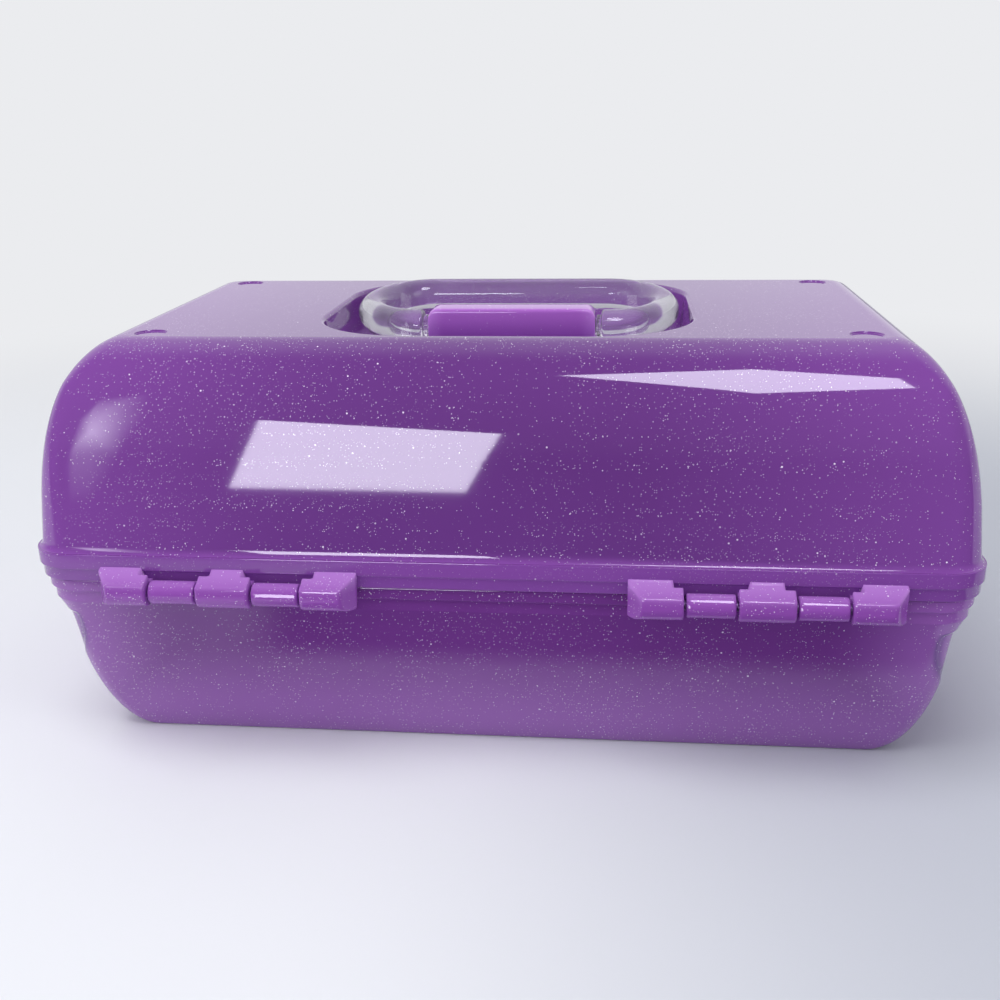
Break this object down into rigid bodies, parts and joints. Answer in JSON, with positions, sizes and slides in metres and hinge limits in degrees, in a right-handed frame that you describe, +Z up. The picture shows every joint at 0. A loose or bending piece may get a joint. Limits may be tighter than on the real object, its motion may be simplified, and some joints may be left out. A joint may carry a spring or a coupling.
{
  "type": "makeup case",
  "caption": "Moulded train case with a domed lid, a swinging clear handle in a pocket, a front latch, rear hinges, a lid mirror and trays on side arms that rise as it opens",
  "frame": {"origin": "centre of the case's flat underside", "axes": "+X along the case, +Y towards the hinges (the latch is at -Y), +Z up"},
  "size_m": [0.332, 0.2146, 0.1568],
  "materials": {
    "base_purple": "glossy tinted plastic with fine silver glitter",
    "lid_purple": "glossy deep tinted plastic with fine silver glitter",
    "clear_plastic": "polished clear acrylic",
    "tray_plastic": "satin moulded plastic",
    "mirror_glass": "silvered glass",
    "steel": "bright steel"
  },
  "bodies": {
    "base": {"base_tub": "base_purple", "hinge_pins": "steel", "arm_pivot_pins": "steel"},
    "lid": {"lid_shell": "lid_purple", "handle_saddle": "lid_purple", "saddle_screws": "steel", "mirror_frame": "tray_plastic", "mirror_glass": "mirror_glass", "mirror_screws": "steel", "latch_pin": "steel", "lid_tray_pins": "steel"},
    "handle": {"handle_grip": "clear_plastic"},
    "latch": {"latch": "clear_plastic"},
    "arm_left": {"tray_arm_left": "tray_plastic"},
    "arm_right": {"tray_arm_right": "tray_plastic"},
    "upper_tray": {"tray_upper": "tray_plastic", "tray_upper_pins": "steel", "upper_dividers": "clear_plastic"},
    "lower_tray": {"tray_lower": "tray_plastic", "tray_lower_pins": "steel", "lower_dividers": "clear_plastic"}
  },
  "joints": [
    {"name": "lid_hinge", "type": "hinge", "parent": "base", "child": "lid", "pos_m": [0, 0.1014, 0.07], "axis": [-1, 0, 0], "range_deg": [0, 100]},
    {"name": "handle_swing", "type": "hinge", "parent": "lid", "child": "handle", "pos_m": [0, 0.0033, 0.1454], "axis": [-1, 0, 0], "range_deg": [0, 168]},
    {"name": "latch_swing", "type": "hinge", "parent": "lid", "child": "latch", "pos_m": [0, -0.1026, 0.086], "axis": [-1, 0, 0], "range_deg": [0, 90]},
    {"name": "arm_left_swing", "type": "hinge", "parent": "base", "child": "arm_left", "pos_m": [-0.14765, 0.021, 0.0534], "axis": [-1, 0, 0], "range_deg": [0, 100]},
    {"name": "arm_right_swing", "type": "hinge", "parent": "base", "child": "arm_right", "pos_m": [0.14765, 0.021, 0.0534], "axis": [-1, 0, 0], "range_deg": [0, 100]},
    {"name": "upper_tray_level", "type": "hinge", "parent": "arm_right", "child": "upper_tray", "pos_m": [0.14765, -0.039, 0.0754], "axis": [-1, 0, 0], "range_deg": [-100, 0]},
    {"name": "lower_tray_level", "type": "hinge", "parent": "arm_right", "child": "lower_tray", "pos_m": [0.14765, -0.009, 0.0644], "axis": [-1, 0, 0], "range_deg": [-100, 0]}
  ],
  "couplings": [
    {"joint": "arm_left_swing", "follows": "lid_hinge", "ratio": 1},
    {"joint": "arm_right_swing", "follows": "lid_hinge", "ratio": 1},
    {"joint": "upper_tray_level", "follows": "lid_hinge", "ratio": -1},
    {"joint": "lower_tray_level", "follows": "lid_hinge", "ratio": -1}
  ]
}
